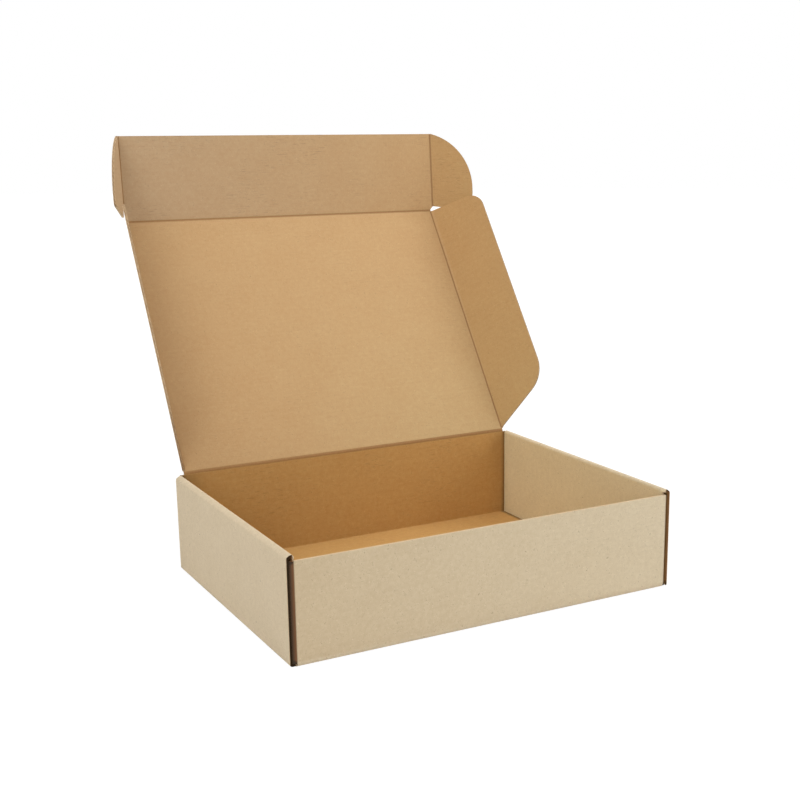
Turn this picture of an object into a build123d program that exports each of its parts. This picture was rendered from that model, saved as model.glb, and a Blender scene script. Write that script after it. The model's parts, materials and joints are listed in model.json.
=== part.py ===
import os
from math import atan2, degrees, radians, sqrt, tan

from build123d import *

# A mailer box for shipping, die-cut from one sheet of single-wall fluted board and
# folded up by hand: a tray with rolled-over double side walls and, on the top of its
# back wall, a lid with two side flaps and a tuck flap that carries two rounded ears.
# It stands open, as it is shown. Lengths are in mm and angles in degrees.
# The origin is the middle of the underside. X runs to the right along the front wall,
# Y runs to the back and Z runs up.

# Board, and how it folds
board = 1.6
fold_inner_radius = 0.3
layer_gap = 0.15
hinge_gap = 0.4

# Tray, inside
inner_width = 265.0
inner_depth = 202.0
inner_height = 65.0

# Tray walls
front_wall_drop = 0.4
side_crease_drop = 0.5
rollover_rise = 2.1
inner_panel_end_gap = 0.6
corner_notch_height = 3.0

# Corner tabs, trapped inside the side walls
corner_tab_length = 62.0
corner_tab_drop = 2.0
corner_tab_floor_gap = 0.4
corner_tab_end_radius = 8.0

# Lock tabs under the inner side panels, and their slots in the base
lock_tab_count = 2
lock_tab_width = 28.0
lock_tab_pitch = 96.0
lock_tab_recess = 0.2
lock_tab_corner_radius = 0.6
lock_slot_gap = 0.25

# Lid
lid_crest_gap = 0.3
side_flap_clearance = 1.4
side_crease_taper = 2.6
tuck_flap_clearance = 0.4
lid_open = 123.9

# Side flaps of the lid
side_flap_heel_width = 49.5
side_flap_front_width = 47.8
side_flap_heel_start = 1.6
side_flap_heel_angle = 63.5
side_flap_heel_radius = 24.0
side_flap_front_gap = 1.1
side_flap_front_taper = 8.0
side_flap_front_radius = 13.0
left_side_flap_fold = 73.0
right_side_flap_fold = 58.0

# Tuck flap on the lid's front edge
tuck_flap_height = 63.0
tuck_flap_fold = 30.0

# Ears on the ends of the tuck flap
ear_side_gap = 0.8
ear_slit = 11.0
ear_width = 34.6
ear_foot_start = 3.0
ear_foot_angle = 15.5
ear_foot_radius = 4.0
ear_shoulder = 20.0
ear_arc_bulge = 0.16
left_ear_fold = 66.0
right_ear_fold = 38.0

# Sizes that follow
half_board = board / 2
fold_radius = fold_inner_radius + half_board
side_wall = 3 * board + 2 * layer_gap
outer_width = inner_width + 2 * side_wall
outer_depth = inner_depth + 2 * board
rim = board + inner_height

outer_panel_x = outer_width / 2 - half_board
corner_tab_x = outer_panel_x - board - layer_gap
inner_panel_x = inner_width / 2 + half_board
end_wall_y = inner_depth / 2 + half_board
end_wall_half = corner_tab_x - fold_radius
base_half_depth = end_wall_y - fold_radius
front_wall_top = rim - front_wall_drop
corner_tab_foot = board + corner_tab_floor_gap
corner_tab_top = rim - corner_tab_drop
inner_panel_foot = board + layer_gap
inner_panel_half = inner_depth / 2 - inner_panel_end_gap

# The strip across the top of a side wall rises to the crease of the inner panel
outer_crease_z = rim - side_crease_drop
inner_crease_z = outer_crease_z + rollover_rise
crest_turn = 90 + degrees(atan2(rollover_rise, outer_panel_x - inner_panel_x))
crest_z = inner_crease_z - fold_radius * tan(radians(crest_turn / 2)) + fold_radius + half_board

# The shut lid lies just above the crests and its tuck flap just inside the front wall
hinge_y = end_wall_y
hinge_z = crest_z + lid_crest_gap + half_board
lid_length = hinge_y + inner_depth / 2 - tuck_flap_clearance - half_board
hinge_half = inner_width / 2 - side_flap_clearance
lid_half = hinge_half - side_crease_taper
crease_lean = degrees(atan2(side_crease_taper, lid_length))
ear_crease_x = lid_half + board + ear_side_gap
hinge_start = half_board + hinge_gap

lid_frame = Pos(0, hinge_y, hinge_z) * Rot(180 - lid_open, 0, 0)
tuck_flap_frame = lid_frame * Pos(0, lid_length, 0) * Rot(tuck_flap_fold, 0, 0)


def block(x_limits, y_limits, z_limits):
    """A box from its limits along X, Y and Z."""
    corner = (x_limits[0], y_limits[0], z_limits[0])
    size = [limits[1] - limits[0] for limits in (x_limits, y_limits, z_limits)]
    return Pos(*corner) * Box(*size, align=(Align.MIN, Align.MIN, Align.MIN))


def bent_board(points, plane, length):
    """Board bent round a mid-line drawn on a plane, with an equal run to each side of it."""
    line = FilletPolyline(*points, radius=fold_radius)
    return extrude(plane * trace(line, board), amount=length / 2, both=True)


def flat_board(outline):
    """Board cut to an outline, its mid-plane on the drawing plane."""
    return extrude(outline, amount=half_board, both=True)


def crease_bead(start, end):
    """The full-round edge that a fold turns about."""
    run = Vector(*end) - Vector(*start)
    place = Plane(origin=start, z_dir=run)
    return place * Cylinder(half_board, run.length, align=(Align.CENTER, Align.CENTER, Align.MIN))


def on_both_sides(shape):
    """A shape of the right side and its mirror image on the left."""
    return shape + mirror(shape, about=Plane.YZ)


def base_and_end_walls():
    """Front wall, base and back wall, bent from one run of the sheet."""
    points = [
        (-end_wall_y, front_wall_top),
        (-end_wall_y, half_board),
        (end_wall_y, half_board),
        (end_wall_y, hinge_z),
    ]
    run = bent_board(points, Plane.YZ, 2 * end_wall_half)
    step = block(
        (hinge_half, end_wall_half),
        (hinge_y - half_board, hinge_y + half_board),
        (crest_z, hinge_z),
    )
    bead = crease_bead((-hinge_half, hinge_y, hinge_z), (hinge_half, hinge_y, hinge_z))
    return run - on_both_sides(step) + bead


def corner_tab():
    """The tab folded round from the right end of the front wall."""
    points = [
        (end_wall_half - board, -end_wall_y),
        (corner_tab_x, -end_wall_y),
        (corner_tab_x, -end_wall_y + corner_tab_length),
    ]
    line = FilletPolyline(*points, radius=fold_radius)
    height = corner_tab_top - corner_tab_foot
    tab = Pos(0, 0, corner_tab_foot) * extrude(trace(line, board), amount=height)
    free_edges = tab.edges().filter_by(Axis.X).group_by(Axis.Y)[-1]
    return fillet(free_edges, corner_tab_end_radius)


def right_side_wall():
    """Outer panel, strip across the top and inner panel, folded in one run."""
    points = [
        (end_wall_half, half_board),
        (outer_panel_x, half_board),
        (outer_panel_x, outer_crease_z),
        (inner_panel_x, inner_crease_z),
        (inner_panel_x, inner_panel_foot),
    ]
    wall = bent_board(points, Plane.XZ, outer_depth)

    # The sheet is cut away at the foot of each corner
    foot_x = (end_wall_half, outer_width / 2)
    foot_z = (0, corner_notch_height)
    wall -= block(foot_x, (base_half_depth, outer_depth / 2), foot_z)
    wall -= block(foot_x, (-outer_depth / 2, -base_half_depth), foot_z)

    # At the front the inner panel ends inside the wall and the strip runs on over it
    inner_x = (inner_width / 2 - layer_gap, inner_width / 2 + board + layer_gap)
    front_z = (board, front_wall_top + layer_gap)
    wall -= block(inner_x, (-outer_depth / 2, -inner_panel_half), front_z)

    # At the back both end there, so that the lid can lie back
    back_x = (inner_width / 2 - layer_gap, outer_width / 2 - board)
    back_y = (inner_panel_half, outer_depth / 2)
    wall -= block(back_x, back_y, (board, crest_z))
    strip_x = (inner_width / 2, outer_width / 2)
    wall -= block(strip_x, back_y, (outer_crease_z - fold_radius, crest_z))
    return wall


def lock_tab_places():
    """Middles of the lock tabs along one side wall."""
    first = -(lock_tab_count - 1) * lock_tab_pitch / 2
    return [Pos(inner_panel_x, first + n * lock_tab_pitch, 0) for n in range(lock_tab_count)]


def lock_tab():
    """A tongue from the foot of an inner panel down through the base."""
    height = inner_panel_foot - lock_tab_recess
    at_foot = (Align.CENTER, Align.CENTER, Align.MIN)
    tongue = Box(board, lock_tab_width, height, align=at_foot)
    corners = tongue.edges().filter_by(Axis.X).group_by(Axis.Z)[0]
    return Pos(0, 0, lock_tab_recess) * fillet(corners, lock_tab_corner_radius)


def lock_slot():
    """The slot in the base round one lock tab."""
    width = board + 2 * lock_slot_gap
    length = lock_tab_width + 2 * lock_slot_gap
    return Pos(0, 0, half_board) * Box(width, length, board)


def tray():
    tabs = corner_tab() + mirror(corner_tab(), about=Plane.XZ)
    shape = base_and_end_walls() + on_both_sides(right_side_wall()) + on_both_sides(tabs)
    for place in lock_tab_places():
        shape -= on_both_sides(place * lock_slot())
        shape += on_both_sides(place * lock_tab())
    return shape


def lid_panel():
    """The lid's panel, with a round edge at each of its three creases."""
    start_half = hinge_half - side_crease_taper * hinge_start / lid_length
    outline = Polygon(
        (-start_half, hinge_start),
        (start_half, hinge_start),
        (lid_half, lid_length),
        (-lid_half, lid_length),
        align=None,
    )
    panel = flat_board(outline)
    side = crease_bead((start_half, hinge_start, 0), (lid_half, lid_length, 0))
    corner = Pos(lid_half, lid_length, 0) * Sphere(half_board)
    panel += on_both_sides(side + corner)
    return panel + crease_bead((-lid_half, lid_length, 0), (lid_half, lid_length, 0))


def side_flap():
    """A side flap of the lid lying flat: X out from its crease, Y along the crease."""
    heel_slope = 1 / tan(radians(side_flap_heel_angle))
    front_slope = tan(radians(side_flap_front_taper))
    front = lid_length - side_flap_front_gap
    points = [
        (hinge_start, side_flap_heel_start + hinge_start * heel_slope),
        (side_flap_heel_width, side_flap_heel_start + side_flap_heel_width * heel_slope),
        (side_flap_front_width, front - side_flap_front_width * front_slope),
        (hinge_start, front - hinge_start * front_slope),
    ]
    radii = [0, side_flap_heel_radius, side_flap_front_radius, 0]
    return flat_board(make_face(FilletPolyline(*points, radius=radii, close=True)))


def tuck_flap():
    """The tuck flap: its sides are slit up to where the crease of each ear starts."""
    outline = Polygon(
        (-lid_half, hinge_start),
        (lid_half, hinge_start),
        (ear_crease_x, ear_slit),
        (ear_crease_x, tuck_flap_height),
        (-ear_crease_x, tuck_flap_height),
        (-ear_crease_x, ear_slit),
        align=None,
    )
    bead = crease_bead((ear_crease_x, ear_slit, 0), (ear_crease_x, tuck_flap_height, 0))
    return flat_board(outline) + on_both_sides(bead)


def ear():
    """An ear lying flat: X out from its crease, Y up the crease."""
    foot_slope = tan(radians(ear_foot_angle))
    root = (hinge_start, ear_foot_start + hinge_start * foot_slope)
    toe = (ear_width, ear_foot_start + ear_width * foot_slope)
    shoulder = (ear_width, ear_shoulder)
    top = (hinge_start, tuck_flap_height)
    bulge = ear_arc_bulge * sqrt((shoulder[0] - top[0]) ** 2 + (shoulder[1] - top[1]) ** 2)
    edge = Polyline(top, root, toe, shoulder) + SagittaArc(top, shoulder, bulge)
    outline = make_face(edge)
    corner = outline.vertices().sort_by_distance(toe)[0]
    return flat_board(fillet(corner, ear_foot_radius))


def on_crease(frame, crease_x, lean, fold, shape):
    """A right-hand piece folded inwards about a crease that leans in from its frame's Y."""
    return frame * Pos(crease_x, 0, 0) * Rot(0, 0, lean) * Rot(0, -fold, 0) * shape


def mirrored_on_crease(frame, crease_x, lean, fold, shape):
    """The left-hand piece of the same outline, folded by its own angle."""
    flipped = mirror(shape, about=Plane.YZ)
    return frame * Pos(-crease_x, 0, 0) * Rot(0, 0, -lean) * Rot(0, fold, 0) * flipped


os.makedirs("parts", exist_ok=True)
export_step(tray(), "parts/tray.step")
export_step(lid_frame * lid_panel(), "parts/lid_panel.step")
export_step(
    mirrored_on_crease(lid_frame, hinge_half, crease_lean, left_side_flap_fold, side_flap()),
    "parts/lid_left_flap.step",
)
export_step(
    on_crease(lid_frame, hinge_half, crease_lean, right_side_flap_fold, side_flap()),
    "parts/lid_right_flap.step",
)
export_step(tuck_flap_frame * tuck_flap(), "parts/tuck_flap.step")
export_step(
    mirrored_on_crease(tuck_flap_frame, ear_crease_x, 0, left_ear_fold, ear()),
    "parts/left_ear.step",
)
export_step(
    on_crease(tuck_flap_frame, ear_crease_x, 0, right_ear_fold, ear()),
    "parts/right_ear.step",
)
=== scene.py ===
"""A mailer box for shipping, folded from one sheet of fluted board, open and empty."""

import json
from math import atan2, cos, pi, radians, sin, tan

import bpy
from bpy.props import FloatProperty, FloatVectorProperty, IntProperty, PointerProperty
from mathutils import Euler, Matrix, Vector


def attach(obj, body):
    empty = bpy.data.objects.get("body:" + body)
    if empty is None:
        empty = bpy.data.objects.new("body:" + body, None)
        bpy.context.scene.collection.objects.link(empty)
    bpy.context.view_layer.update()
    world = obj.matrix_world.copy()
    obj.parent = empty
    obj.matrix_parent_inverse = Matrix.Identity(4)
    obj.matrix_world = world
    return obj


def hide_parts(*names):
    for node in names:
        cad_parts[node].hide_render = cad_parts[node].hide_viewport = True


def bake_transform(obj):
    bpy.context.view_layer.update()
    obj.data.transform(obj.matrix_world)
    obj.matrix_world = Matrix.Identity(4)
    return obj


bl_info = {
    "name": "Mailer Box",
    "version": (1, 0, 0),
    "blender": (4, 5, 0),
    "location": "3D View > Sidebar > Mailer Box",
    "description": "Builds an open mailer box folded from one sheet of fluted board",
    "category": "Add Mesh",
}

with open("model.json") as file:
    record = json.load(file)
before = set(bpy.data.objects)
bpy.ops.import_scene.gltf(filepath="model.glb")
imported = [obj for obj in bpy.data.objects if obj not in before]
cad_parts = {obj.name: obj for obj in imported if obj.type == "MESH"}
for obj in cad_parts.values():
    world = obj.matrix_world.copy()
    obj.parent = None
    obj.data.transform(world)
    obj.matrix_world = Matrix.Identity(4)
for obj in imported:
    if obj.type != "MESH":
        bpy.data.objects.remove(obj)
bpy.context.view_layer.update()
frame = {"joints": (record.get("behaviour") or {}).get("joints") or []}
joints = {joint["name"]: joint for joint in frame["joints"]}

MM = 0.001
TINY = 1e-7
WHITE = (1.0, 1.0, 1.0, 1.0)


def joint_place(name):
    """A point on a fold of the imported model."""
    return Vector(joints[name]["pos_m"])


def joint_axis(name):
    """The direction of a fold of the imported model."""
    return Vector(joints[name]["axis"]).normalized()


def fold_at_rest(name):
    """How far a flap is folded in at rest; its range starts where it lies flat."""
    return -radians(joints[name]["range_deg"][0])


def length(name, default, description):
    """A property that holds a length, given in millimetres."""
    return FloatProperty(name=name, description=description, default=default * MM, unit="LENGTH")


def angle(name, default, description):
    """A property that holds an angle, given in degrees."""
    return FloatProperty(
        name=name, description=description, default=radians(default), unit="ROTATION"
    )


def colour(name, red, green, blue, description):
    """A property that holds a colour, given as it reads on a screen, from 0 to 255."""
    return FloatVectorProperty(
        name=name,
        description=description,
        subtype="COLOR_GAMMA",
        size=3,
        min=0,
        max=1,
        default=(red / 255, green / 255, blue / 255),
    )


def number(name, default, description, unit="NONE"):
    """A property that holds a plain number, or one that Blender shows in its own unit."""
    return FloatProperty(name=name, description=description, default=default, unit=unit)


class BoardSizes(bpy.types.PropertyGroup):
    """The board and how it folds."""

    thickness: length("Thickness", 1.6, "Thickness of the board")
    flute_pitch: length("Flute pitch", 3.37, "From one flute to the next")
    fold_radius: length("Fold radius", 1.1, "Radius of the middle of the board at a fold")
    fold_steps: IntProperty(
        name="Fold steps", description="Facets round each fold", default=6, min=2
    )
    support: length("Fold support", 0.7, "Flat strip kept beside each fold")
    layer_gap: length("Layer gap", 0.15, "Air between folded layers")
    crease_half: length("Crease half", 1.2, "From a hinged fold's axis to the flat board")
    crease_reach: length("Crease reach", 0.3, "How far a crease runs on inside the flat board")
    crease_tangent: length("Crease tangent", 0.6, "From a hinged fold's axis to its bend")
    crease_support: length("Crease support", 0.2, "Flat strip kept beside a hinged fold's bend")
    crease_relief: length("Crease relief", 0.03, "How much thinner a crease is than the board")


class TraySizes(bpy.types.PropertyGroup):
    """The tray, folded from the middle of the sheet."""

    inner_width: length("Inside width", 265, "Between the rolled side walls")
    inner_depth: length("Inside depth", 202, "Between the front and back walls")
    inner_height: length("Inside height", 65, "From the base to the rim")
    front_drop: length("Front wall drop", 1.7, "Front wall's top below the rim")
    side_drop: length("Side crease drop", 0.5, "Outer crease of a side wall below the rim")
    crest_rise: length("Crest rise", 2.1, "Inner crease of a side wall above the outer one")
    panel_end_gap: length("Panel end gap", 0.6, "Inner side panel short of the end walls")
    corner_notch: length("Corner notch", 0.9, "Height cut away at the foot of each corner")
    corner_recess: length("Corner recess", 3.2, "Left wall's ends behind the end walls' faces")
    right_lift: length("Right crest lift", 0.9, "How much the right wall's roll bulges up")
    tab_length: length("Corner tab", 62, "How far a corner tab reaches along the side wall")
    tab_drop: length("Corner tab drop", 2, "Corner tab's top below the rim")
    tab_floor_gap: length("Corner tab foot", 0.4, "Corner tab above the base")
    lock_width: length("Lock tab width", 28, "Width of a lock tab")
    lock_pitch: length("Lock tab pitch", 96, "From one lock tab to the next")
    lock_recess: length("Lock tab recess", 0.2, "Lock tab's foot above the underside")
    slot_gap: length("Slot gap", 0.25, "Air round a lock tab in its slot")


class LidSizes(bpy.types.PropertyGroup):
    """The lid's flaps, as cut in the flat sheet."""

    side_taper: length("Side crease taper", 2.6, "How far each side crease runs in to the front")
    heel_width: length("Side flap heel", 49.5, "Width of a side flap near the hinge")
    front_width: length("Side flap front", 47.8, "Width of a side flap at its front")
    heel_start: length("Heel start", 1.6, "Where the heel starts along the crease")
    heel_angle: angle("Heel angle", 63.5, "Between the heel and the crease")
    heel_radius: length("Heel radius", 24, "Corner of the heel")
    front_gap: length("Front gap", 1.1, "Side flap short of the lid's front crease")
    front_taper: angle("Front taper", 8, "How far the front edge leans back")
    front_radius: length("Front radius", 13, "Corner of the front edge")
    tuck_height: length("Tuck flap height", 63, "From the lid's front crease to the edge")
    left_slit: length("Left slit", 11, "From the lid's front crease to the left ear's crease")
    left_slit_width: length("Left slit width", 3, "From the left ear's crease to its edge there")
    slit_taper: length("Left slit taper", 0.9, "How far the left slit cuts into the tuck flap")
    right_slit: length("Right slit", 3.6, "From the lid's front crease to the right ear's crease")
    right_notch: length("Right notch", 7.5, "How far the notch runs along the right ear's foot")
    right_drop: length("Right ear drop", 2.4, "How much lower the right ear's foot hangs")
    ear_width: length("Ear width", 34.6, "From the ear's crease to its tip")
    ear_start: length("Ear start", 3, "Where the ear starts above the lid's front crease")
    ear_angle: angle("Ear foot angle", 15.5, "How far the ear's foot rises")
    ear_toe_radius: length("Ear toe radius", 4, "Corner at the ear's foot")
    ear_shoulder: length("Ear shoulder", 20, "Where the ear's arc starts")
    ear_bulge: number("Ear bulge", 0.16, "Height of the ear's arc as a share of its chord")


class PaperColours(bpy.types.PropertyGroup):
    """The colours of the board's papers, and of the light and shade painted on them."""

    kraft: colour("Inside liner", 193, 161, 116, "The brown liner inside the box")
    kraft_dark: colour("Inside liner, dark", 171, 129, 82, "Dark fibres of the inside liner")
    manila: colour("Outside liner", 217, 201, 173, "The pale liner outside the box")
    manila_dark: colour("Outside liner, dark", 188, 167, 134, "Dark fibres of the outside liner")
    tray_bounce_shade: colour("Tray tint", 255, 245, 212, "Painted shade of brown bounce light on the inside liner in the tray")
    right_flap_shade: colour("Right flap tint", 249, 245, 233, "Painted shade that browns the flaps on the right")
    cool_lit: colour("Cool-lit liner", 193, 168, 134, "Painted cool light on the inside liner of the tuck flap")
    fleck: colour("Fleck", 112, 84, 56, "Specks of bark in the paper")
    edge: colour("Cut edge", 184, 156, 120, "Paper along an open cut edge")
    pale_edge: colour("Pale cut edge", 208, 184, 150, "Paper along a closed cut edge")
    # Painted shade for the open flutes and grooves of cut edges
    flute_shade: colour("Flute shade", 150, 121, 90, "Painted shade inside the flutes at a cut edge")
    # Painted shade at the tray's upright corners
    corner: colour("Corner", 108, 69, 38, "Painted shade at the tray's upright corners")
    corner_deep_shade: colour("Corner, dark", 38, 22, 4, "Painted shade in the deepest part of a corner")


class StageSettings(bpy.types.PropertyGroup):
    """The camera, the lamps and the floor."""

    lens: number("Lens", 57.952, "Focal length on a 36 mm wide frame", "CAMERA")
    shift_x: number("Shift across", -0.07705, "Camera shift across the frame")
    shift_y: number("Shift up", 0.05826, "Camera shift up the frame")
    azimuth: angle("Azimuth", -29.740, "Camera direction round the box")
    elevation: angle("Elevation", 13.824, "Camera direction above the horizon")
    roll: angle("Roll", -0.294, "Camera roll")
    distance: length("Distance", 894.95, "From the camera to the point it looks at")
    target_x: length("Target across", 35.59, "The point looked at, across")
    target_z: length("Target height", 88.97, "The point looked at, up")
    floor_radius: length("Floor radius", 6000, "Radius of the pale floor")
    floor_drop: length("Floor drop", 0.2, "Floor below the box")
    floor_shade: number("Floor shade", 0.88, "How much light the floor gives back")
    floor_glow: number("Floor glow", 1.12, "Strength of the white that the camera sees on it")
    floor_white: number("Floor white", 0.82, "Share of that white near the box")
    fade_start: length("Fade start", 350, "From the box's middle to where the share starts to rise")
    fade_end: length("Fade end", 1200, "From the box's middle to where the floor is all white")
    sky: number("Sky", 0.02, "Strength of the even light from all round")
    top: number("Top lamp", 7.4, "Power of the lamp overhead", "POWER")
    top_left: number("Top left lamp", 10.1, "Power of the high lamp on the left", "POWER")
    top_right: number("Top right lamp", 13, "Power of the high lamp on the right", "POWER")
    top_back: number("Top back lamp", 6, "Power of the high lamp behind", "POWER")
    front_left: number("Front left lamp", 7.2, "Power of the low lamp on the left", "POWER")
    front_right: number("Front right lamp", 7, "Power of the low lamp on the right", "POWER")


class Term:
    """A shader socket that sums and products can be written with."""

    def __init__(self, nodes, socket):
        self.nodes = nodes
        self.socket = socket

    def worked(self, operation, first, second=0.0):
        return self.nodes.node("ShaderNodeMath", {"operation": operation}, {0: first, 1: second})

    def __add__(self, other):
        return self.worked("ADD", self, other)

    __radd__ = __add__

    def __sub__(self, other):
        return self.worked("SUBTRACT", self, other)

    def __rsub__(self, other):
        return self.worked("SUBTRACT", other, self)

    def __mul__(self, other):
        return self.worked("MULTIPLY", self, other)

    __rmul__ = __mul__

    def sine(self):
        return self.worked("SINE", self)

    def size(self):
        return self.worked("ABSOLUTE", self)

    def step(self, low, high):
        """0 below low, 1 above high, and smooth between them."""
        limits = {0: self, 1: low, 2: high, 3: 0.0, 4: 1.0}
        return self.nodes.node("ShaderNodeMapRange", {"interpolation_type": "SMOOTHSTEP"}, limits)


class Nodes:
    """The nodes of a material or of the world."""

    def __init__(self, tree):
        self.tree = tree

    def fill(self, target, value):
        """Links a term to a socket, or sets the socket's own value."""
        if isinstance(value, Term):
            self.tree.links.new(value.socket, target)
        else:
            target.default_value = value

    def node(self, kind, settings=None, sockets=None, output=0):
        """Adds a node: its settings first, then the values or links of its sockets."""
        made = self.tree.nodes.new(kind)
        for key, value in (settings or {}).items():
            setattr(made, key, value)
        for key, value in (sockets or {}).items():
            self.fill(made.inputs[key], value)
        return Term(self, made.outputs[output])

    def mix(self, factor, first, second, blend="MIX"):
        """first where factor is 0 and second, or both blended, where it is 1, for colours."""
        settings = {"data_type": "RGBA", "blend_type": blend, "clamp_factor": True}
        return self.node("ShaderNodeMix", settings, {0: factor, 6: first, 7: second}, output=2)

    def times(self, triple, factors):
        """A colour or a place with each part multiplied by its own factor."""
        settings = {"operation": "MULTIPLY"}
        return self.node("ShaderNodeVectorMath", settings, {0: triple, 1: factors})

    def scaled(self, triple, factor):
        """A colour or a place multiplied by one factor."""
        sockets = {0: triple, "Scale": factor}
        return self.node("ShaderNodeVectorMath", {"operation": "SCALE"}, sockets)

    def noise(self, place, scale, detail=3.0, roughness=0.5, distortion=0.0):
        sockets = {
            "Vector": place,
            "Scale": scale,
            "Detail": detail,
            "Roughness": roughness,
            "Distortion": distortion,
        }
        return self.node("ShaderNodeTexNoise", None, sockets)

    def part(self, triple, which):
        """One part of a place: 0 for X, 1 for Y, 2 for Z."""
        return self.node("ShaderNodeSeparateXYZ", None, {0: triple}, output=which)

    def attribute(self, name):
        """A number that the mesh holds for each of its points."""
        return self.node("ShaderNodeAttribute", {"attribute_name": name}, output="Fac")


class Paper(Nodes):
    """A material of the box, built from one Principled shader."""

    def __init__(self, name):
        self.material = bpy.data.materials.new(name)
        self.material.use_nodes = True
        super().__init__(self.material.node_tree)
        self.shader = self.tree.nodes["Principled BSDF"]
        self.feed("Specular IOR Level", 0.28)

    def feed(self, name, value):
        """Sets or links one socket of the shader."""
        self.fill(self.shader.inputs[name], value)

    def place(self):
        """Where a point lies on the flat sheet, in millimetres."""
        return self.scaled(self.node("ShaderNodeUVMap", {"uv_map": "blank"}), 1 / MM)

    def bump(self, height, distance):
        sockets = {"Height": height, "Distance": distance, "Strength": 1.0}
        self.feed("Normal", self.node("ShaderNodeBump", None, sockets))


class Panels:
    """Where a point lies on the flat sheet, and on which of its panels, for a paper."""

    def __init__(self, paper):
        self.layout = Layout()
        self.hinge, self.front = sheet_rows(self.layout)
        self.place = paper.place()
        self.x, self.row = paper.part(self.place, 0), paper.part(self.place, 1)
        self.on_lid = self.row.step(self.hinge - 2, self.hinge + 2)
        self.on_tuck = self.row.step(self.front - 1, self.front + 1)
        self.in_tray = 1 - self.on_lid
        self.on_panel = self.on_lid * (1 - self.on_tuck)


def linear(gamma):
    """A screen colour as the renderer's own numbers, with alpha."""
    parts = [c / 12.92 if c <= 0.04045 else ((c + 0.055) / 1.055) ** 2.4 for c in gamma]
    return (*parts, 1.0)


def ratio(shade, other):
    """One colour divided by another, part by part."""
    return tuple(part / whole for part, whole in zip(shade[:3], other[:3]))


def brighter(shade, factor):
    """A colour with its light multiplied, and its alpha kept."""
    return tuple(min(1.0, part * factor) for part in shade[:3]) + (1.0,)


def sheet_rows(layout):
    """Where the lid's hinge and its front crease lie along the flat sheet, in millimetres."""
    hinge = (layout.back_end + layout.board.crease_half) / MM
    return hinge, hinge + lid_run().length / MM


def flute_wave(paper, place):
    """The rise and fall of the flutes, from -1 to 1, a little uneven as glued board is."""
    pitch = bpy.context.scene.mailer_board.flute_pitch / MM
    wander = paper.noise(paper.times(place, (0.02, 0.05, 1.0)), 1.0, 2.0)
    along = paper.part(place, 1) + (wander - 0.5) * (0.5 * pitch)
    return (along * (2 * pi / pitch)).sine()


def corners(paper, base, top, reach_in):
    """Paints shade into a colour at the tray's four upright corners, in the recesses between the
    walls and their folds.
    """
    layout, shades = Layout(), bpy.context.scene.mailer_colours
    here = paper.node("ShaderNodeTexCoord", output="Object")
    x, y, z = (paper.part(here, which) for which in range(3))
    # The painted shade runs from the end wall's fold to just inside the side wall's face
    across, fold_end = x.size(), layout.end_half
    inwards = (x - 0.4 * MM).size().step(fold_end - 0.6 * MM, fold_end + 0.4 * MM)
    outwards = across.step(layout.outer_x - 0.5 * MM, layout.outer_x - 0.2 * MM)
    inner = layout.outer_y - reach_in
    reach = y.size().step(inner, inner + 0.5 * MM)
    below = 1 - z.step(top - 1.0 * MM, top)
    # The painted shade is darkest at the left corners' outer half, at the foot and at the top
    right = x.step(-0.01, 0.01)
    deep = (1 - right) * across.step(fold_end - 0.3 * MM, fold_end + 2.4 * MM)
    deep = deep + 1 - z.step(2.0 * MM, 5.0 * MM) + z.step(top - 4 * MM, top - 1.5 * MM) * 0.8
    shade = paper.mix(deep, linear(shades.corner), linear(shades.corner_deep_shade))
    return paper.mix(inwards * (1 - outwards) * reach * below * 0.98, base, shade)


def inside_shades(paper, base, panels):
    """The inside liner's painted light, shade and tints, from the tray up to the tuck flap and its
    painted cool light.
    """
    shades, layout = bpy.context.scene.mailer_colours, panels.layout
    x, row, in_tray = panels.x, panels.row, panels.in_tray
    # Places are in millimetres, so a gradient is a share for each millimetre
    # Painted light: brighter towards the right, and more so in the tray
    base = paper.scaled(base, 1.03 + x * 0.0004 + in_tray * (x * 0.0005 + 0.05))
    # Painted cool light on the tuck flap, strongest at its left
    cool_lit = paper.times(base, ratio(linear(shades.cool_lit), linear(shades.kraft)))
    base = paper.mix(panels.on_tuck * (0.55 - x * 0.0035), base, cool_lit)
    # Painted light: the lid panel paler towards its right and towards the hinge
    lit_patch = x.step(-110, 110) * (1 - row.step(panels.hinge - 60, panels.front - 10))
    base = paper.mix(panels.on_panel * lit_patch, base, paper.times(base, (1.02, 1.12, 1.16)))
    # Painted shade: the brown of light bounced round inside the tray
    base = paper.mix(in_tray, base, linear(shades.tray_bounce_shade), "MULTIPLY")
    # Painted shade on the right side flap and ear
    on_right = x.step(131, 133) * panels.on_lid
    base = paper.mix(on_right, base, linear(shades.right_flap_shade), "MULTIPLY")
    # Painted shade: on the base along the foot of the side walls, and on the back wall towards its
    # corners, darker at the left
    side = x.size()
    foot = side.step(128.5, 131.8) * 0.55
    wall = side.step(112, 134) * (0.25 - x * 0.0006) + side.step(128.6, 132.8) * 0.32
    back_foot = layout.base_half / MM
    on_back = row.step(back_foot, back_foot + 3)
    return paper.scaled(base, 1 - in_tray * (foot + (wall - foot) * on_back))


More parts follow.
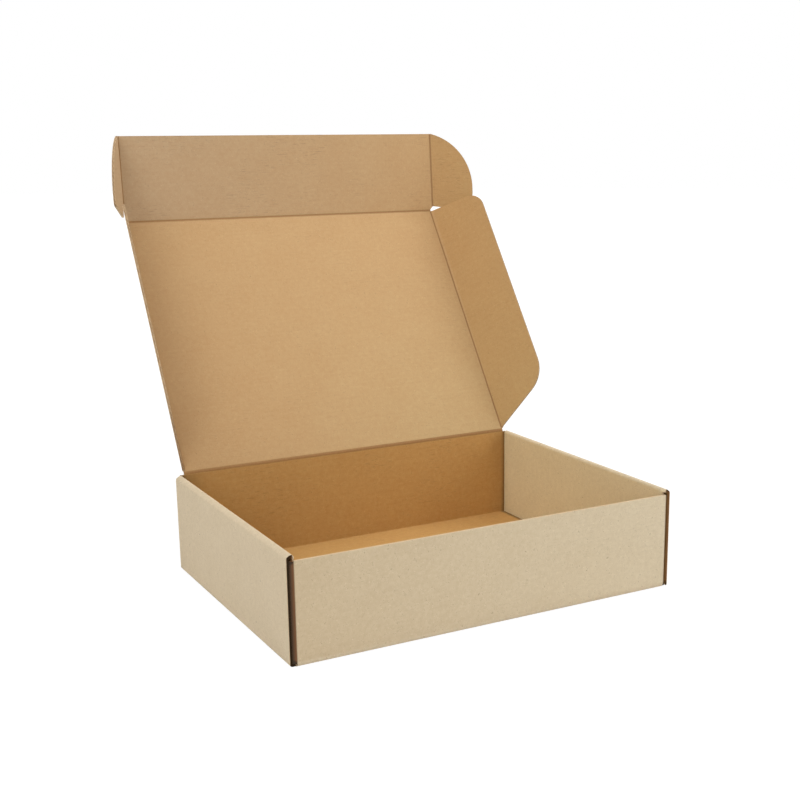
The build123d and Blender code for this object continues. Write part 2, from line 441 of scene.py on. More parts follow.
def outside_shades(paper, base, panels):
    """The outside liner's painted light and shade, on the inner side panels, the side walls and the
    front.
    """
    layout, x, row, in_tray = panels.layout, panels.x, panels.row, panels.in_tray
    crest = (layout.outer_panel + layout.rim) / MM
    inner = x.size().step(crest + 1.0, crest + 3.5)
    wall = (x.size() - 137).step(0, 2) * in_tray * (1 - inner)
    # Painted light: the inner side panels lighter and yellower, as bounce light makes them, and the
    # outer side walls lighter towards the back
    base = paper.scaled(base, 1 + inner * in_tray * 0.1 + wall * (0.05 + row * 0.0005))
    base = paper.mix(inner * in_tray, base, paper.times(base, (1.0, 1.03, 0.92)))
    # Painted light and shade across the front wall: darker at its left, lighter at its right
    front_wall = 1 - row.step(-layout.outer_y / MM - 2, -layout.outer_y / MM)
    left_shade = paper.times(base, (0.94, 0.91, 0.86))
    right_shade = paper.times(base, (1.05, 1.07, 1.08))
    shaded = paper.mix(x * (1 / 260) + 0.5, left_shade, right_shade)
    base = paper.mix(front_wall * (1 - wall), base, shaded)
    # Painted shade at the tray's upright corners
    return corners(paper, base, layout.rim - 0.5 * MM, 2.4 * MM)


def liner(name, light, dark, inside):
    """The paper on one side of the board, with its fibres, specks and faint flutes."""
    shades = bpy.context.scene.mailer_colours
    # How strongly the flutes, the specks and the dashes show
    ribs, bold, dashed = (0.05, 0.25, 0.28) if inside else (0.02, 0.4, 0.1)
    paper = Paper(name)
    panels = Panels(paper)
    place, in_tray, on_panel = panels.place, panels.in_tray, panels.on_panel
    # Grain from the coarsest to the finest, and streaks along and across the flutes
    clouds = paper.noise(place, 0.035, 3.0, 0.55)
    mottle = paper.noise(place, 0.28, 6.0, 0.68)
    fibres = paper.noise(paper.times(place, (1.5, 0.4, 1.0)), 1.0, 4.0, 0.6, 0.8)
    cross = paper.noise(paper.times(place, (0.14, 1.1, 1.0)), 1.0, 3.0, 0.6, 0.4)
    loud = paper.noise(paper.times(place, (0.012, 0.2, 1.0)), 1.0, 3.0, 0.6).step(0.4, 0.75)
    wave = flute_wave(paper, place)
    shade = (clouds - 0.5) * 0.3 + (mottle - 0.5) * (0.7 + in_tray * ribs * 8)
    streaks = in_tray * ribs * 5 + ribs * 3 - on_panel * ribs * 1.5
    shade = shade + (fibres - 0.5) * 0.35 + (cross - 0.5) * streaks
    shade = shade + wave * loud * ribs
    base = paper.mix(0.42 - shade, light, dark)

    patches = paper.noise(place, 0.018, 2.0, 0.5).step(0.42, 0.62)
    dashes = cross.step(0.55, 0.66) * patches * dashed * (1 - on_panel * 0.6)
    curls = paper.noise(paper.times(place, (0.9, 0.6, 1.0)), 1.0, 2.0, 0.6, 1.5)
    specks = curls.step(0.61, 0.69) * (0.12 + mottle.step(0.45, 0.6) * bold)
    base = paper.mix(dashes + specks, base, linear(shades.fleck))
    pale = paper.noise(place, 0.83, 2.0, 0.5).step(0.63, 0.72) * 0.5
    base = paper.mix(pale, base, brighter(light, 1.12))

    tint = inside_shades if inside else outside_shades
    paper.feed("Base Color", tint(paper, base, panels))
    paper.feed("Roughness", 0.72 + (mottle - 0.5) * 0.25)
    grain = paper.noise(place, 2.6, 3.0, 0.7)
    height = wave * ribs + (fibres - 0.5) * 0.5 + (cross - 0.5) * 0.5
    paper.bump(height + (grain - 0.5) * 0.6 + (mottle - 0.5) * 0.8, 0.07 * MM)
    return paper.material


def open_edge(name, edge, flute_shade):
    """A cut across the flutes: two liners with the flutes' wave between them, and painted shade in
    the open flutes.
    """
    paper = Paper(name)
    place = paper.place()
    wave = flute_wave(paper, place)
    height = (paper.attribute("depth") - 0.5) * 2
    crushed = paper.noise(place, 0.25, 3.0, 0.6)
    medium = 1 - (height - wave * 0.66).size().step(0.14, 0.3)
    face = height.size().step(0.66, 0.78)
    torn = (crushed - 0.42).step(0.0, 0.2)
    solid = (medium + face + torn * 0.45).step(0.15, 0.85)
    tone = paper.noise(place, 0.9, 4.0, 0.6)
    paper.feed("Base Color", paper.mix(solid, flute_shade, paper.mix(tone, edge, brighter(edge, 1.2))))
    paper.feed("Roughness", 0.9)
    paper.bump(solid + (tone - 0.5) * 0.4, 0.12 * MM)
    return paper.material


def closed_edge(name, edge, flute_shade):
    """A cut along the flutes: two flattened liners with a thin uneven groove of painted shade
    between them.
    """
    paper = Paper(name)
    place = paper.place()
    wander = paper.noise(place, 0.2, 3.0, 0.6)
    height = (paper.attribute("depth") - 0.5) * 2
    groove = 1 - (height - 0.4 + (wander - 0.5) * 0.9).size().step(0.05, 0.3)
    tone = paper.noise(place, 0.8, 4.0, 0.6)
    pale = paper.mix(tone, brighter(edge, 0.85), brighter(edge, 1.2))
    base = paper.mix(groove * (tone * 0.8), pale, flute_shade)
    # Painted shade at the tray's upright corners, up past the rim
    paper.feed("Base Color", corners(paper, base, Layout().rim + 3 * MM, 8 * MM))
    paper.feed("Specular IOR Level", 0.1)
    paper.feed("Roughness", 0.9)
    paper.bump((tone - 0.5) - groove * 0.6, 0.1 * MM)
    return paper.material


def crease(name, light, dark, tint):
    """Board crushed along a hinged fold, with a darker uneven line down its middle: crushed paper,
    deepened by painted shade.
    """
    paper = Paper(name)
    place = paper.place()
    hinge, _ = sheet_rows(Layout())
    mottle = paper.noise(place, 0.6, 4.0, 0.65)
    fibres = paper.noise(paper.times(place, (1.6, 0.3, 1.0)), 1.0, 4.0, 0.6, 0.6)
    wander = (paper.noise(place, 0.11, 3.0, 0.6) - 0.5) * 0.7
    line = 1 - (paper.attribute("across") + wander).size().step(0.4, 1.3)
    base = paper.mix(0.42 - (mottle - 0.5) * 0.5 - (fibres - 0.5) * 0.45, light, dark)
    # Painted shade of bounce light below the hinge, as in the tray
    below = 1 - paper.part(place, 1).step(hinge - 2, hinge + 2)
    base = paper.mix(below, base, tint, "MULTIPLY")
    # The line is the crushed paper's own darkening, deepened by painted shade
    depth = line * (0.52 + (mottle - 0.5) * 0.6)
    pressed_and_shaded = (dark[0] * 0.5, dark[1] * 0.38, dark[2] * 0.3, 1.0)
    paper.feed("Base Color", paper.mix(depth, base, pressed_and_shaded))
    paper.feed("Roughness", 0.8)
    paper.bump((1 - line) + (mottle - 0.5) * 0.5, 0.12 * MM)
    return paper.material


PAPERS = {
    "kraft_liner": (liner, ("kraft", "kraft_dark"), True),
    "manila_liner": (liner, ("manila", "manila_dark"), False),
    "open_edge": (open_edge, ("edge", "flute_shade")),
    "closed_edge": (closed_edge, ("pale_edge", "flute_shade")),
    "kraft_crease": (crease, ("kraft", "kraft_dark", "tray_bounce_shade")),
    "manila_crease": (crease, ("manila", "manila_dark"), WHITE),
}


def paper_named(name):
    """One of the box's materials, made once and shared by its pieces."""
    made = bpy.data.materials.get(name)
    if made:
        return made
    maker, colours, *rest = PAPERS[name]
    shades = bpy.context.scene.mailer_colours
    return maker(name, *(linear(getattr(shades, colour)) for colour in colours), *rest)


def only(obj):
    """Selects one object and nothing else."""
    bpy.ops.object.select_all(action="DESELECT")
    obj.select_set(True)
    bpy.context.view_layer.objects.active = obj


def pick(obj, kind, wanted):
    """Selects vertices or faces by their number, and goes into edit mode."""
    mesh = obj.data
    for group in (mesh.vertices, mesh.edges, mesh.polygons):
        group.foreach_set("select", [False] * len(group))
    for item in mesh.vertices if kind == "VERT" else mesh.polygons:
        item.select = item.index in wanted
    bpy.context.tool_settings.mesh_select_mode = (kind == "VERT", False, kind == "FACE")
    bpy.ops.object.mode_set(mode="EDIT")


def done_editing():
    bpy.ops.object.mode_set(mode="OBJECT")


def map_blank(obj, origin, along_x=(1, 0), along_y=(0, 1)):
    """Writes where each corner lies on the flat sheet before folding to a UV map."""
    layer = obj.data.uv_layers.get("blank") or obj.data.uv_layers.new(name="blank")
    for loop, uv in zip(obj.data.loops, layer.data):
        x, y, _ = obj.data.vertices[loop.vertex_index].co
        uv.uv = (
            origin[0] + x * along_x[0] + y * along_y[0],
            origin[1] + x * along_x[1] + y * along_y[1],
        )
    for other in [l for l in obj.data.uv_layers if l.name != "blank"]:
        obj.data.uv_layers.remove(other)


def cut_sheet(name, columns, rows, keep):
    """A flat sheet, inside up, cut along its lines and trimmed to the cells to keep."""
    columns = sorted({round(x, 7) for x in columns})
    rows = sorted({round(y, 7) for y in rows})
    middle = ((columns[0] + columns[-1]) / 2, (rows[0] + rows[-1]) / 2, 0)
    bpy.ops.object.select_all(action="DESELECT")
    bpy.ops.mesh.primitive_plane_add(size=1, location=middle)
    sheet = bpy.context.object
    sheet.name = name
    sheet.data.name = name
    bpy.ops.transform.resize(value=(columns[-1] - columns[0], rows[-1] - rows[0], 1))
    bpy.ops.object.transform_apply(location=True, rotation=True, scale=True)
    pick(sheet, "FACE", {0})
    for x in columns[1:-1]:
        bpy.ops.mesh.select_all(action="SELECT")
        bpy.ops.mesh.bisect(plane_co=(x, 0, 0), plane_no=(1, 0, 0), threshold=TINY)
    for y in rows[1:-1]:
        bpy.ops.mesh.select_all(action="SELECT")
        bpy.ops.mesh.bisect(plane_co=(0, y, 0), plane_no=(0, 1, 0), threshold=TINY)
    done_editing()
    waste = {f.index for f in sheet.data.polygons if not keep(f.center.x, f.center.y)}
    if waste:
        pick(sheet, "FACE", waste)
        bpy.ops.mesh.delete(type="FACE")
        done_editing()
    return sheet


def cut_outline(name, points):
    """A flat sheet, inside up, drawn round its outline from one vertex."""
    bpy.ops.object.select_all(action="DESELECT")
    bpy.ops.mesh.primitive_plane_add(size=MM)
    sheet = bpy.context.object
    sheet.name = name
    sheet.data.name = name
    pick(sheet, "VERT", {0, 1, 2, 3})
    bpy.ops.mesh.merge(type="CENTER")
    bpy.ops.transform.translate(value=(*points[0], 0))
    for start, end in zip(points, points[1:]):
        step = (end[0] - start[0], end[1] - start[1], 0)
        bpy.ops.mesh.extrude_vertices_move(TRANSFORM_OT_translate={"value": step})
    bpy.ops.mesh.select_all(action="SELECT")
    bpy.ops.mesh.edge_face_add()
    done_editing()
    if sheet.data.polygons[0].normal.z < 0:
        pick(sheet, "FACE", {0})
        bpy.ops.mesh.flip_normals()
        done_editing()
    return sheet


def develop(points, radius, steps):
    """Lays a bent mid-line flat. Returns its folds as (start, facet, turn), and its end."""
    place = points[0][0]
    used = 0.0
    folds = []
    for first, corner, last in zip(points, points[1:], points[2:]):
        into = Vector(corner) - Vector(first)
        out = Vector(last) - Vector(corner)
        turn = atan2(into.x * out.y - into.y * out.x, into.dot(out))
        tangent = radius * tan(abs(turn) / 2)
        place += into.length - used - tangent
        facet = 2 * radius * sin(abs(turn) / 2 / steps)
        folds.append((place, facet, turn))
        place += steps * facet
        used = tangent
    return folds, place + (Vector(points[-1]) - Vector(points[-2])).length - used


def fold_lines(folds, steps, support):
    """The lines a sheet is cut along for its folds, with a flat strip beside each fold."""
    lines = []
    for start, facet, _ in folds:
        lines += [start + step * facet for step in range(steps + 1)]
        lines += [start - support, start + steps * facet + support]
    return lines


def fold(sheet, flat, direction, folds, steps):
    """Folds a sheet upwards across a direction, the outermost fold first."""
    along_x = direction[0] != 0
    sense = direction[0] if along_x else direction[1]
    axis = "Y" if along_x else "X"
    hand = sense if along_x else -sense
    for start, facet, turn in reversed(folds):
        for step in range(steps, -1, -1):
            line = start + step * facet
            moved = {
                index
                for index, place in enumerate(flat)
                if place[0 if along_x else 1] * sense > line + TINY
            }
            share = 0.5 if step in (0, steps) else 1.0
            pivot = (sense * line, 0, 0) if along_x else (0, sense * line, 0)
            pick(sheet, "VERT", moved)
            bpy.ops.transform.rotate(
                value=hand * share * turn / steps,
                orient_axis=axis,
                orient_type="GLOBAL",
                center_override=pivot,
            )
            done_editing()


def put(sheet, matrix):
    """Moves a flat or folded sheet to its place and leaves its object at the origin."""
    only(sheet)
    sheet.matrix_world = matrix
    bpy.ops.object.transform_apply(location=True, rotation=True, scale=True)


def thicken(sheet, thickness, inside="kraft_liner", outside="manila_liner"):
    """Gives a sheet the board's thickness, with a paper for each side and for its cut edges."""
    only(sheet)
    count = len(sheet.data.vertices)
    board = sheet.modifiers.new("Board", "SOLIDIFY")
    board.thickness = thickness
    board.offset = 0
    board.use_even_offset = True
    bpy.ops.object.modifier_apply(modifier=board.name)
    mesh = sheet.data
    depth = mesh.attributes.new("depth", "FLOAT", "POINT")
    depth.data.foreach_set("value", [float(i < count) for i in range(len(mesh.vertices))])
    for name in (inside, outside, "open_edge", "closed_edge"):
        mesh.materials.append(paper_named(name))
    flat = mesh.uv_layers["blank"].data
    for face in mesh.polygons:
        inner = [corner < count for corner in face.vertices]
        if all(inner) or not any(inner):
            face.material_index = 0 if all(inner) else 1
            continue
        spots = [flat[loop].uv for loop in face.loop_indices]
        across = max(spot.x for spot in spots) - min(spot.x for spot in spots)
        along = max(spot.y for spot in spots) - min(spot.y for spot in spots)
        # A cut that isn't nearly along the flutes shows their open ends
        face.material_index = 2 if along > across * 0.3 else 3
    bpy.ops.object.shade_smooth_by_angle(angle=radians(32))


class Layout:
    """Sizes of the tray that follow from its settings, shared by its sheets."""

    def __init__(self):
        board = bpy.context.scene.mailer_board
        tray = bpy.context.scene.mailer_tray
        self.board, self.tray = board, tray
        thick, half = board.thickness, board.thickness / 2
        self.half = half
        wall = 3 * thick + 2 * board.layer_gap
        self.outer_x = tray.inner_width / 2 + wall
        self.outer_y = tray.inner_depth / 2 + thick
        self.rim = thick + tray.inner_height
        self.outer_panel = self.outer_x - half
        self.tab = self.outer_panel - thick - board.layer_gap
        self.inner_panel = tray.inner_width / 2 + half
        self.end_wall = self.outer_y - half
        self.end_half = self.tab - board.fold_radius
        self.base_half = self.end_wall - board.fold_radius
        self.front_top = self.rim - tray.front_drop
        self.inner_half = tray.inner_depth / 2 - tray.panel_end_gap
        self.slot_x = (
            self.inner_panel - half - tray.slot_gap,
            self.inner_panel + half + tray.slot_gap,
        )
        self.hinge = joint_place("lid_hinge")
        self.back_top = self.hinge.z - board.crease_half
        self.front_folds, self.front_end = self.end_run(self.front_top)
        self.back_folds, self.back_end = self.end_run(self.back_top)

    def end_run(self, top):
        """The folds and the end of the sheet for an end wall of that height."""
        points = [(0, self.half), (self.end_wall, self.half), (self.end_wall, top)]
        return develop(points, self.board.fold_radius, self.board.fold_steps)

    def lock_rows(self, gap):
        """From and to, along the side walls, for each lock tab with air round it."""
        half = self.tray.lock_width / 2 + gap
        return [
            (middle - half, middle + half)
            for middle in (-self.tray.lock_pitch / 2, self.tray.lock_pitch / 2)
        ]


def within(value, limits):
    return limits[0] < value < limits[1]


def tray_run(layout):
    """Base, front wall and back wall with the four corner tabs, folded from one sheet."""
    board, tray, steps = layout.board, layout.tray, layout.board.fold_steps
    tab_points = [
        (layout.end_half - board.support, 0),
        (layout.tab, 0),
        (layout.tab, tray.tab_length),
    ]
    tab_folds, tab_end = develop(tab_points, board.fold_radius, steps)
    start, facet, _ = layout.front_folds[0]
    wall_foot = start + steps * facet - (layout.half + board.fold_radius)
    tab_foot = wall_foot + board.thickness + tray.tab_floor_gap
    tab_top = wall_foot + layout.rim - tray.tab_drop
    slots = layout.lock_rows(tray.slot_gap)

    columns = [layout.slot_x[0], layout.end_half, tab_end]
    columns += fold_lines(tab_folds, steps, board.support)
    columns += [-x for x in columns]
    rows = [-layout.front_end, layout.back_end, tab_foot, tab_top, -tab_foot, -tab_top]
    rows += fold_lines(layout.back_folds, steps, board.support)
    rows += [-y for y in fold_lines(layout.front_folds, steps, board.support)]
    rows += [edge for slot in slots for edge in slot]

    def keep(x, y):
        if abs(x) > layout.end_half:
            return tab_foot < abs(y) < tab_top
        return not (abs(x) > layout.slot_x[0] and any(within(y, slot) for slot in slots))

    sheet = cut_sheet("tray_base_and_end_walls", columns, rows, keep)
    map_blank(sheet, (0, 0))
    flat = [vertex.co.copy() for vertex in sheet.data.vertices]
    fold(sheet, flat, (1, 0), tab_folds, steps)
    fold(sheet, flat, (-1, 0), tab_folds, steps)
    fold(sheet, flat, (0, -1), layout.front_folds, steps)
    fold(sheet, flat, (0, 1), layout.back_folds, steps)
    put(sheet, Matrix.Translation((0, 0, layout.half)))
    return sheet


def tray_side(layout, name, sense):
    """A side wall: outer panel, crest and inner panel with its lock tabs."""
    board, tray, steps = layout.board, layout.tray, layout.board.fold_steps
    outer_z = layout.rim - tray.side_drop
    points = [
        (layout.end_half, layout.half),
        (layout.outer_panel, layout.half),
        (layout.outer_panel, outer_z),
        (layout.inner_panel, outer_z + tray.crest_rise + (sense > 0) * tray.right_lift),
        (layout.inner_panel, board.thickness + board.layer_gap),
    ]
    folds, end = develop(points, board.fold_radius, steps)
    foot_end = folds[0][0] + steps * folds[0][1]
    wall_foot = foot_end - (layout.half + board.fold_radius)
    notch = wall_foot + tray.corner_notch
    shoulder = wall_foot + outer_z - board.fold_radius
    crest_end = folds[2][0] + steps * folds[2][1]
    tongue = end + board.thickness + board.layer_gap - tray.lock_recess
    slots = layout.lock_rows(tray.slot_gap)
    tabs = layout.lock_rows(0)

    columns = [layout.end_half, layout.slot_x[1], notch, shoulder, end, tongue]
    columns += fold_lines(folds, steps, board.support)
    side_end = layout.outer_y - (sense < 0) * tray.corner_recess
    rows = [-side_end, side_end]
    for edge in (layout.base_half, layout.inner_half):
        rows += [-edge, edge]
    rows += [edge for slot in slots + tabs for edge in slot]

    def keep(x, y):
        if x > end:
            return any(within(y, tab) for tab in tabs)
        if x < layout.slot_x[1] and any(within(y, slot) for slot in slots):
            return False
        if abs(y) > layout.base_half and x < notch:
            return False
        if y > layout.inner_half and x > shoulder:
            return False
        return not (y < -layout.inner_half and x > crest_end)

    columns = [sense * x for x in columns]
    sheet = cut_sheet(name, columns, rows, lambda x, y: keep(sense * x, y))
    map_blank(sheet, (0, 0))
    flat = [vertex.co.copy() for vertex in sheet.data.vertices]
    fold(sheet, flat, (sense, 0), folds, steps)
    put(sheet, Matrix.Translation((0, 0, layout.half)))
    return sheet


def axes(origin, x_axis, y_axis):
    """A place for a sheet: where it starts, and which ways its X and Y run."""
    x_axis, y_axis = Vector(x_axis), Vector(y_axis)
    z_axis = x_axis.cross(y_axis)
    turn = Matrix((x_axis, y_axis, z_axis)).transposed().to_4x4()
    return Matrix.Translation(origin) @ turn


def swing(centre, first, last, steps):
    """Points on the arc round a centre that turns one radius into another."""
    sweep = atan2(first.x * last.y - first.y * last.x, first.dot(last))
    points = []
    for step in range(steps + 1):
        turn = sweep * step / steps
        x = centre.x + first.x * cos(turn) - first.y * sin(turn)
        y = centre.y + first.x * sin(turn) + first.y * cos(turn)
        points.append((x, y))
    return points


def rounded(corners, radii, steps=10):
    """A closed outline with each corner rounded by its radius."""
    points = []
    for index, (corner, radius) in enumerate(zip(corners, radii)):
        here = Vector(corner)
        if radius == 0:
            points.append(tuple(here))
            continue
        before = (Vector(corners[index - 1]) - here).normalized()
        after = (Vector(corners[(index + 1) % len(corners)]) - here).normalized()
        opening = before.angle(after)
        tangent = radius / tan(opening / 2)
        centre = here + (before + after).normalized() * (radius / sin(opening / 2))
        first, last = here + before * tangent - centre, here + after * tangent - centre
        points += swing(centre, first, last, steps)
    return points


def arc(start, end, bulge, steps=16):
    """Points of an arc between two points, bulging to the right of the way there."""
    start, end = Vector(start), Vector(end)
    half = (end - start).length / 2
    rise = 2 * half * bulge
    radius = (half**2 + rise**2) / (2 * rise)
    way = (end - start).normalized()
    right = Vector((way.y, -way.x))
    centre = (start + end) / 2 - right * (radius - rise)
    return swing(centre, start - centre, end - centre, steps)


def hinged_crease(name, place, span, turn, blank):
    """The board across a hinged fold: it bends with its two sides, and is crushed there."""
    board = bpy.context.scene.mailer_board
    reach = board.crease_half + board.crease_reach
    radius = board.crease_tangent / tan(abs(turn) / 2)
    end_point = (reach * cos(turn), reach * sin(turn))
    folds, end = develop([(-reach, 0), (0, 0), end_point], radius, board.fold_steps)
    rows = [-reach, end] + fold_lines(folds, board.fold_steps, board.crease_support)
    sheet = cut_sheet(name, span, rows, lambda x, y: True)
    map_blank(sheet, *blank)
    flat = [vertex.co.copy() for vertex in sheet.data.vertices]
    across = sheet.data.attributes.new("across", "FLOAT", "POINT")
    across.data.foreach_set("value", [point.y / board.crease_half for point in flat])
    fold(sheet, flat, (0, 1), folds, board.fold_steps)
    put(sheet, place)
    thick = board.thickness - board.crease_relief
    thicken(sheet, thick, "kraft_crease", "manila_crease")
    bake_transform(sheet)
    return sheet


def lid_run():
    """The way up the lid, from its hinge to its front crease."""
    return joint_place("tuck_flap_fold") - joint_place("lid_hinge")


def lid_place():
    """The lid's own axes: X across, Y from the hinge to the front edge, Z inwards."""
    return axes(joint_place("lid_hinge"), (1, 0, 0), lid_run().normalized())


def tuck_place():
    """The tuck flap's own axes, from the lid's front crease."""
    return axes(joint_place("tuck_flap_fold"), (1, 0, 0), joint_axis("left_ear_fold"))


def side_place(joint, sense, fold):
    """The axes of a piece folded about a side crease: Y along the crease, Z inwards."""
    way = joint_axis(joint) * -sense
    place = axes(joint_place(joint), way.cross(inward(way)), way)
    return place @ Matrix.Rotation(-sense * fold, 4, "Y")


def inward(way):
    """The inward direction of the lid or the tuck flap that a side crease runs along."""
    return Vector((1, 0, 0)).cross(way).normalized()


class MAILER_OT_tray(bpy.types.Operator):
    """Fold the tray: base, front and back walls, corner tabs and double side walls"""

    bl_idname = "mailer.tray"
    bl_label = "Tray"

    def execute(self, context):
        layout = Layout()
        sheets = [
            tray_run(layout),
            tray_side(layout, "tray_right_side", 1),
            tray_side(layout, "tray_left_side", -1),
        ]
        for sheet in sheets:
            thicken(sheet, layout.board.thickness)
            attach(sheet, "tray")
            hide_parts("tray")
        return {"FINISHED"}


class MAILER_OT_lid(bpy.types.Operator):
    """Lay the lid's panel between its four creases"""

    bl_idname = "mailer.lid"
    bl_label = "Lid panel"

    def execute(self, context):
        layout = Layout()
        board = layout.board
        near, far = board.crease_half, lid_run().length - board.crease_half
        lean = context.scene.mailer_lid.side_taper / lid_run().length
        half = joint_place("right_side_flap_fold").x - board.crease_half
        low, high = half - near * lean, half - far * lean
        sheet = cut_outline("lid_sheet", [(-low, near), (low, near), (high, far), (-high, far)])
        map_blank(sheet, (0, layout.back_end + board.crease_half))
        put(sheet, lid_place())
        thicken(sheet, board.thickness)
        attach(sheet, "lid")
        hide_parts("lid_panel")
        return {"FINISHED"}


class MAILER_OT_side_flaps(bpy.types.Operator):
    """Cut the lid's side flaps and fold them in"""

    bl_idname = "mailer.side_flaps"
    bl_label = "Side flaps"

    def execute(self, context):
        layout = Layout()
        board, lid = layout.board, context.scene.mailer_lid
        heel = 1 / tan(lid.heel_angle)
        lean = tan(lid.front_taper)
        front = lid_run().length - lid.front_gap
        near = board.crease_half
        turn = atan2(lid.side_taper, lid_run().length)
        corners = [
            (near, lid.heel_start + near * heel),
            (lid.heel_width, lid.heel_start + lid.heel_width * heel),
            (lid.front_width, front - lid.front_width * lean),
            (near, front - near * lean),
        ]
        outline = rounded(corners, [0, lid.heel_radius, lid.front_radius, 0])
        for side, sense in (("right", 1), ("left", -1)):
            joint = f"{side}_side_flap_fold"
            sheet = cut_outline(f"{side}_side_flap_sheet", [(sense * x, y) for x, y in outline])
            start = (joint_place(joint).x, layout.back_end + board.crease_half)
            across, along = (cos(turn), sense * sin(turn)), (-sense * sin(turn), cos(turn))
            map_blank(sheet, start, across, along)
            put(sheet, side_place(joint, sense, fold_at_rest(joint)))
            thicken(sheet, board.thickness)
            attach(sheet, f"{side}_side_flap")
            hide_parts(f"lid_{side}_flap")
        return {"FINISHED"}


def ear_outline(low, slit, slit_side, root):
    """An ear lying flat: from its slit round its foot, toe and arc, back to its crease."""
    lid, near = bpy.context.scene.mailer_lid, bpy.context.scene.mailer_board.crease_half
    rise = tan(lid.ear_angle)
    shoulder = (lid.ear_width, lid.ear_shoulder)
    toe = (lid.ear_width, low + lid.ear_width * rise)
    foot = [(root, low + root * rise), toe, shoulder]
    outline = rounded(foot, [0, lid.ear_toe_radius, 0])[:-1]
    outline += arc(shoulder, (near, lid.tuck_height), lid.ear_bulge) + [(near, slit)]
    if slit_side > near:
        outline.append((slit_side, slit))
    return outline


class MAILER_OT_tuck_flap(bpy.types.Operator):
    """Cut the tuck flap and its two ears"""

    bl_idname = "mailer.tuck_flap"
    bl_label = "Tuck flap and ears"

    def execute(self, context):
        layout = Layout()
        board, lid = layout.board, context.scene.mailer_lid
        near = board.crease_half
        start = layout.back_end + board.crease_half + lid_run().length
        crease = joint_place("right_ear_fold").x
        half = joint_place("right_side_flap_fold").x - lid.side_taper
        outline = [
            (half, near),
            (crease, lid.right_slit),
            (crease - near, lid.right_slit),
            (crease - near, lid.tuck_height),
            (near - crease, lid.tuck_height),
            (near - crease, lid.left_slit),
            (-crease, lid.left_slit),
            (lid.slit_taper - half, near),
        ]
        sheet = cut_outline("tuck_flap_sheet", outline)
        map_blank(sheet, (0, start))
        put(sheet, tuck_place())
        thicken(sheet, board.thickness)
        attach(sheet, "tuck_flap")
        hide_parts("tuck_flap")

        low, gap = lid.ear_start, lid.left_slit_width
        right = ear_outline(low - lid.right_drop, lid.right_slit, near, lid.right_notch)
        left = ear_outline(low, lid.left_slit, gap, gap)
        for side, sense, outline in (("right", 1, right), ("left", -1, left)):
            joint = f"{side}_ear_fold"
            sheet = cut_outline(f"{side}_ear_sheet", [(sense * x, y) for x, y in outline])
            map_blank(sheet, (joint_place(joint).x, start))
            put(sheet, side_place(joint, sense, fold_at_rest(joint)))
            thicken(sheet, board.thickness)
            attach(sheet, f"{side}_ear")
            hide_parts(f"{side}_ear")
        return {"FINISHED"}


class MAILER_OT_creases(bpy.types.Operator):
    """Carry the board on over the six hinged folds"""

    bl_idname = "mailer.creases"
    bl_label = "Hinged creases"

    def execute(self, context):
        layout = Layout()
        lid = context.scene.mailer_lid
        hinge, front = joint_place("lid_hinge"), joint_place("tuck_flap_fold")
        way = lid_run().normalized()
        half = joint_place("right_side_flap_fold").x
        hinge_v = layout.back_end + layout.board.crease_half
        front_v = hinge_v + lid_run().length

        back = axes(hinge, (1, 0, 0), (0, 0, 1))
        lean = atan2(way.y, way.z)
        hinged_crease("hinge_crease", back, [-half, half], -lean, ((0, hinge_v),))
        place = axes(front, (1, 0, 0), way)
        turn = fold_at_rest("tuck_flap_fold")
        half -= lid.side_taper
        span = [lid.slit_taper - half, half]
        hinged_crease("tuck_crease", place, span, turn, ((0, front_v),))

        flap_end = lid_run().length - lid.front_gap
        starts = {"right": lid.right_slit, "left": lid.left_slit}
        folds = (("side_flap", "lid", hinge_v), ("ear", "tuck_flap", front_v))
        for kind, parent, v in folds:
            for side, sense in (("right", 1), ("left", -1)):
                low, high = lid.heel_start, flap_end
                if kind == "ear":
                    low, high = starts[side], lid.tuck_height
                joint = f"{side}_{kind}_fold"
                start, way = joint_place(joint), joint_axis(joint) * -sense
                place = axes(start, way * -sense, way.cross(inward(way)) * sense)
                span = [-high, -low] if sense > 0 else [low, high]
                blank = ((start.x, v), (0, -sense), (sense, 0))
                name = f"{side}_{kind}_crease"
                turn = fold_at_rest(joint)
                hinged_crease(name, place, span, turn, blank)
        return {"FINISHED"}


# The point that the lamps light, and each lamp's name, size and place, in metres
LAMP_AIM = Vector((0, 0.05, 0.1))
LAMPS = (
    ("top", 1.2, (0, -0.15, 1.7)),
    ("top_left", 1.2, (-1.1, -0.1, 1.3)),
    ("top_right", 1.2, (1.1, -0.1, 1.3)),
    ("top_back", 1.2, (0, 1.1, 1.4)),
    ("front_left", 1.0, (-1.0, -1.0, 0.55)),
    ("front_right", 1.0, (1.05, -1.05, 0.45)),
)


def lamp(name, power, size, place):
    """A large soft lamp that points at the box."""
    bpy.ops.object.light_add(type="AREA", location=place)
    light = bpy.context.object
    light.name = f"{name}_lamp"
    light.data.energy = power
    light.data.shape = "DISK"
    light.data.size = size
    light.rotation_euler = (LAMP_AIM - Vector(place)).to_track_quat("-Z", "Y").to_euler()


def white_to_camera(nodes, shader, kind, strength, share, end):
    """Mixes a shader with plain white where the camera, a gloss or a glass looks at it."""
    rays = ("Is Camera Ray", "Is Glossy Ray", "Is Transmission Ray")
    camera, gloss, glass = (nodes.node("ShaderNodeLightPath", output=ray) for ray in rays)
    white = nodes.node(kind, None, {"Color": WHITE, "Strength": strength})
    under = Term(nodes, shader.outputs[0])
    sockets = {0: (camera + gloss + glass) * share, 1: under, 2: white}
    nodes.fill(end.inputs["Surface"], nodes.node("ShaderNodeMixShader", None, sockets))


